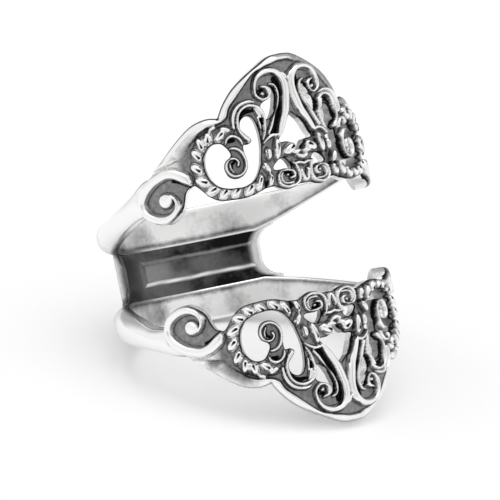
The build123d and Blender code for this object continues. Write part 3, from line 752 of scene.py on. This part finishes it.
def band_mesh(name, sign, gap_falls, outer_fall):
    """A plain domed band from one shoulder round the back to the other.

    gap_falls are the falls of its edge beside the gap on the left and on the right, and outer_fall
    that of its other edge.
    """
    left_fall, right_fall = (smooth_line(rows) for rows in gap_falls)
    outer_fall = smooth_line(outer_fall)
    shoulder = math.degrees(SHOULDER_ALONG * SQUARE / CREST_RADIUS)
    bridge_turn = 180 - BRIDGE_ANGLE / 2
    back_low = BACK_GAP / 2
    back_high = back_low + BAND_WIDTH
    turns = np.linspace(shoulder, 360 - shoulder, BAND_RINGS)
    points = []
    for turn in turns:
        way = min(1, (min(turn, 360 - turn) - shoulder) / (bridge_turn - shoulder))
        gap_fall = right_fall if turn < 180 else left_fall
        low = back_low + (SHOULDER_LOW * SQUARE - back_low) * np.interp(way, *gap_fall.T)
        high = back_high + (SHOULDER_HIGH * SQUARE - back_high) * np.interp(way, *outer_fall.T)
        crest = np.interp(way, CREST_WAYS, CRESTS)
        middle, half = (low + high) / 2, (high - low) / 2
        x, y = math.sin(math.radians(turn)), -math.cos(math.radians(turn))
        for side in range(BAND_SIDES):
            angle = 2 * math.pi * side / BAND_SIDES
            across, out = math.cos(angle), math.sin(angle)
            across = math.copysign(abs(across) ** BAND_FULL, across)
            if out >= 0:
                radius = FINGER_RADIUS + BAND_EDGE / 2 + (crest - BAND_EDGE / 2) * out**BAND_DOME
            else:
                radius = FINGER_RADIUS + BAND_EDGE / 2 * (1 - (-out) ** BAND_INSIDE)
            points.append((x * radius, y * radius, (middle + half * across) * sign))
    faces = tube_faces(len(turns), BAND_SIDES)
    last = len(points) - BAND_SIDES
    faces += [tuple(range(BAND_SIDES))[::-1], tuple(range(last, last + BAND_SIDES))]
    if sign > 0:
        faces = [face[::-1] for face in faces]
    angles = 2 * math.pi * np.arange(BAND_SIDES) / BAND_SIDES
    height = np.sin(angles)
    outer_side = np.cos(angles) > 0
    inside = np.tile((height < INNER_FACE).astype(float), len(turns))
    # painted shade lines along both edges of the band
    outer_shade_line = BAND_SHADE_LINE * stripe(height, *BAND_SHADE_LINE_AT)
    line = np.where(outer_side, outer_shade_line, GAP_SHADE_LINE * stripe(height, *GAP_SHADE_LINE_AT))
    # painted shade over the band's back, past its outline
    dull = BACK_SHADE * rise(np.minimum(turns, 360 - turns), *BACK_START)
    tarnish_and_shade = np.maximum(line[None, :], dull[:, None] * (height > BACK_FOOT))
    # the face on the gap side is darkened to black in the corner with the bridge's near end
    corner = fall(turns, *CORNER_END) * (turns > CORNER_BACK)
    corner = corner[:, None] * stripe(height, *CORNER_AT) * ~outer_side
    tarnish_and_shade = np.maximum(tarnish_and_shade, corner).ravel()
    return make_piece(name, np.array(points), faces, tarnish_and_shade, inside, SILVER)


def bridge_mesh(name):
    """The curved plate between the bands, with a raised pad on its inner face."""
    half = BACK_GAP / 2
    reach = half + BRIDGE_TUCK
    inner = FINGER_RADIUS + BRIDGE_RECESS
    level = np.linspace(-reach, reach, BRIDGE_LEVELS)
    crown = 1 - rise(np.abs(level), 0, half) ** BRIDGE_FLAT
    outer = inner + BRIDGE_SIDE + (BRIDGE_THICKNESS - BRIDGE_SIDE) * crown
    # the ends flare out to the bands in a quarter of a circle
    corner = np.clip(np.abs(level) - (half - END_FLARE), 0, END_FLARE)
    flare = END_FLARE - np.sqrt(END_FLARE**2 - corner**2)
    end = math.radians(BRIDGE_ANGLE / 2) * inner + flare
    across = np.linspace(-1, 1, BRIDGE_ROWS)[:, None] * end[None, :]
    turn = math.pi + across / inner
    levels = np.broadcast_to(level, across.shape)
    pad_half = math.radians(PAD_ANGLE / 2) * inner
    to_end = pad_half - np.abs(across - math.radians(PAD_TURN - 180) * inner)
    to_side = PAD_WIDTH / 2 - np.abs(levels)
    pad_edge = np.minimum(to_end, to_side)
    # the cast pad's edges aren't quite straight
    for share, along, aside, start in PAD_WAVES:
        pad_edge += PAD_WAVE * share * np.sin(along * across + aside * levels + start)
    pad = PAD_HEIGHT * rise(pad_edge, 0, PAD_BEVEL)
    drop = EDGE_ROUND * (1 - round_over(end[None, :] - np.abs(across), EDGE_ROUND))
    points = []
    for radius in (outer[None, :] - drop, inner - pad + drop):
        points.append(np.stack([np.sin(turn) * radius, -np.cos(turn) * radius, levels], -1).reshape(-1, 3))
    count = BRIDGE_ROWS * BRIDGE_LEVELS
    number = np.arange(count).reshape(BRIDGE_ROWS, BRIDGE_LEVELS)
    a, b = number[:-1, :-1].ravel(), number[1:, :-1].ravel()
    c, d = number[1:, 1:].ravel(), number[:-1, 1:].ravel()
    loop = np.concatenate([number[:, 0], number[-1, 1:], number[-2::-1, -1], number[0, -2:0:-1]])
    after = np.roll(loop, -1)
    faces = np.concatenate([
        np.stack([a, b, c, d], 1),
        np.stack([d, c, b, a], 1) + count,
        np.stack([after, loop, loop + count, after + count], 1),
    ])
    # the long bevels are worn bright, the lower one more under a painted highlight, and the pad darkens
    # towards the far end in painted shade
    lower, wave, wave_turn = LOWER_WEAR_AND_HIGHLIGHT
    worn = np.where(levels < BEVEL_TURN, lower + wave * np.sin(wave_turn * across), UPPER_WEAR_AND_HIGHLIGHT)
    worn = worn * stripe(pad_edge / PAD_BEVEL, *BEVEL_AT) * (to_end >= to_side)
    far = fall(across, pad_half, 2 * pad_half)
    dark, recess = (near_end + more * far for near_end, more in (PAD_DARK, RECESS_DARK))
    dark = np.where(pad_edge > PAD_BEVEL, dark, recess) * (1 - worn)
    # the far end is worn bright where it runs into the bands
    dark *= np.maximum(rise(end[None, :] + across, *END_WORN), END_LEAST)
    # a painted shadow line where the outside meets the bands
    beside = rise(np.abs(levels), half - SIDE_REACH, SIDE_REACH)
    behind = BRIDGE_DULL + (1 - BRIDGE_DULL) * SIDE_SHADOW * beside
    tarnish_and_shade = np.concatenate([behind.ravel(), dark.ravel()])
    inside = np.repeat([0, BRIDGE_CLOUDS], count)
    return make_piece(name, np.concatenate(points), faces, tarnish_and_shade, inside, DARK_SILVER)


def add_node(nodes, kind, values, operation=None):
    """A new node with some of its sockets' values."""
    node = nodes.new(kind)
    if operation:
        node.operation = operation
    for socket, value in values.items():
        node.inputs[socket].default_value = value
    return node


def silver(name, grain_share, dull):
    """Polished silver, darkened by age and by painted shade where its tarnish and shade are high.

    grain_share is how far the cast grain shows, and dull the roughness where it is blackest.
    """
    material = bpy.data.materials.new(name)
    material.use_nodes = True
    nodes, links = material.node_tree.nodes, material.node_tree.links
    shader = nodes["Principled BSDF"]
    shader.inputs["Metallic"].default_value = 1.0
    tarnish_and_shade = nodes.new("ShaderNodeAttribute")
    tarnish_and_shade.attribute_name = "tarnish_and_shade"
    inside = nodes.new("ShaderNodeAttribute")
    inside.attribute_name = "inside"
    where = nodes.new("ShaderNodeTexCoord")
    grain = add_node(nodes, "ShaderNodeTexNoise", GRAIN)
    cloud = add_node(nodes, "ShaderNodeTexNoise", CLOUDS)
    links.new(where.outputs["Object"], grain.inputs["Vector"])
    links.new(where.outputs["Object"], cloud.inputs["Vector"])
    # grain darkens the ground unevenly, and clouds dull the side next to the finger
    uneven = add_node(nodes, "ShaderNodeMath", {1: grain_share}, "MULTIPLY_ADD")
    links.new(grain.outputs["Fac"], uneven.inputs[0])
    links.new(tarnish_and_shade.outputs["Fac"], uneven.inputs[2])
    smudge = add_node(nodes, "ShaderNodeMapRange", CLOUD_TARNISH)
    links.new(cloud.outputs["Fac"], smudge.inputs["Value"])
    both = add_node(nodes, "ShaderNodeMath", {}, "MULTIPLY_ADD")
    links.new(smudge.outputs["Result"], both.inputs[0])
    links.new(inside.outputs["Fac"], both.inputs[1])
    links.new(uneven.outputs[0], both.inputs[2])
    shade = nodes.new("ShaderNodeValToRGB")
    ramp = shade.color_ramp.elements
    ramp[0].position, ramp[0].color = BRIGHT_AT, BRIGHT
    ramp[1].position, ramp[1].color = BLACK_AT, BLACK
    ramp.new(DULL_AT).color = DULL
    links.new(both.outputs[0], shade.inputs["Fac"])
    links.new(shade.outputs["Color"], shader.inputs["Base Color"])
    rough = add_node(nodes, "ShaderNodeMapRange", {"To Min": POLISH, "To Max": dull})
    links.new(tarnish_and_shade.outputs["Fac"], rough.inputs["Value"])
    worn = add_node(nodes, "ShaderNodeMath", {1: INSIDE_ROUGH}, "MULTIPLY_ADD")
    links.new(inside.outputs["Fac"], worn.inputs[0])
    links.new(rough.outputs["Result"], worn.inputs[2])
    links.new(worn.outputs[0], shader.inputs["Roughness"])
    bump = add_node(nodes, "ShaderNodeBump", BUMP)
    links.new(cloud.outputs["Fac"], bump.inputs["Height"])
    links.new(bump.outputs["Normal"], shader.inputs["Normal"])
    return material


def plain(name, colour, roughness, glow):
    """A material of one colour that gives off a little light."""
    material = bpy.data.materials.new(name)
    material.use_nodes = True
    shader = material.node_tree.nodes["Principled BSDF"]
    shader.inputs["Base Color"].default_value = colour
    shader.inputs["Roughness"].default_value = roughness
    shader.inputs["Emission Color"].default_value = colour
    shader.inputs["Emission Strength"].default_value = glow
    return material


def make_camera():
    """The photo's view, which keeps its angle to the ring as it lies."""
    azimuth, elevation = math.radians(CAMERA_AZIMUTH), math.radians(CAMERA_ELEVATION)
    back = Vector((
        -math.sin(azimuth) * math.cos(elevation),
        -math.cos(azimuth) * math.cos(elevation),
        math.sin(elevation),
    ))
    right = (-back).cross(Vector((0, 0, 1))).normalized()
    up = right.cross(-back)
    roll = math.radians(CAMERA_ROLL)
    across = right * math.cos(roll) + up * math.sin(roll)
    above = up * math.cos(roll) - right * math.sin(roll)
    data = bpy.data.cameras.new("camera")
    data.lens = LENS
    data.sensor_width = SENSOR
    data.shift_x = SHIFT_X
    data.shift_y = SHIFT_Y
    data.clip_start = CLIP_START
    data.clip_end = CLIP_END
    camera = bpy.data.objects.new("camera", data)
    bpy.context.scene.collection.objects.link(camera)
    turn = Matrix((across, above, back)).transposed().to_4x4()
    camera.matrix_world = RING @ Matrix.Translation(back * CAMERA_DISTANCE * MM) @ turn
    bpy.context.scene.camera = camera


def world_light():
    """A white tent with a dimmer opening round the camera and a dim wall behind the object."""
    world = bpy.data.worlds.new("studio")
    bpy.context.scene.world = world
    world.use_nodes = True
    nodes, links = world.node_tree.nodes, world.node_tree.links
    where = nodes.new("ShaderNodeTexCoord")
    turn = bpy.context.scene.camera.matrix_world.to_3x3()
    towards = (turn @ Vector((0, 0, 1))).normalized()
    away = Vector((-towards.x, -towards.y, BACK_RISE)).normalized()
    shades = []
    for way, angles, left in (
        (towards, OPENING_ANGLES, OPENING_LIGHT),
        (away, BACK_ANGLES, BACK_LIGHT),
    ):
        dot = add_node(nodes, "ShaderNodeVectorMath", {1: way}, "DOT_PRODUCT")
        links.new(where.outputs["Generated"], dot.inputs[0])
        start, full = (math.cos(math.radians(angle)) for angle in angles)
        ends = {"From Min": start, "From Max": full, "To Min": 1, "To Max": left}
        fade = add_node(nodes, "ShaderNodeMapRange", ends)
        links.new(dot.outputs["Value"], fade.inputs["Value"])
        shades.append(fade)
    both = add_node(nodes, "ShaderNodeMath", {}, "MULTIPLY")
    links.new(shades[0].outputs["Result"], both.inputs[0])
    links.new(shades[1].outputs["Result"], both.inputs[1])
    level = add_node(nodes, "ShaderNodeMath", {1: TENT_LIGHT}, "MULTIPLY")
    links.new(both.outputs[0], level.inputs[0])
    links.new(level.outputs[0], nodes["Background"].inputs["Strength"])
    nodes["Background"].inputs["Color"].default_value = (1, 1, 1, 1)


def make_stage():
    """A pale floor and soft light."""
    bpy.ops.mesh.primitive_plane_add(size=FLOOR_SIZE)
    floor = bpy.context.object
    floor.name = "floor"
    floor.data.materials.append(plain("floor_white", FLOOR_COLOUR, FLOOR_ROUGH, FLOOR_GLOW))
    world_light()
    light = bpy.data.lights.new("key", "AREA")
    light.size = KEY_SIZE
    light.energy = KEY_ENERGY
    lamp = bpy.data.objects.new("key", light)
    bpy.context.scene.collection.objects.link(lamp)
    lamp.location = KEY_PLACE
    lamp.rotation_mode = "QUATERNION"
    lamp.rotation_quaternion = lamp.location.to_track_quat("Z", "Y")
    bpy.context.scene.view_settings.view_transform = "Standard"


SILVER = silver("silver", grain_share=0.3, dull=0.5)
DARK_SILVER = silver("dark_silver", grain_share=0.08, dull=0.2)
plate = plate_mesh()
pieces = [
    crown_mesh("upper_crown", plate, 1),
    crown_mesh("lower_crown", plate, -1),
    band_mesh("upper_band", 1, UPPER_GAP_FALL, UPPER_OUTER_FALL),
    band_mesh("lower_band", -1, LOWER_GAP_FALL, LOWER_OUTER_FALL),
    bridge_mesh("bridge"),
]
for piece in pieces:
    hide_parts("guard_ring")
make_camera()
make_stage()
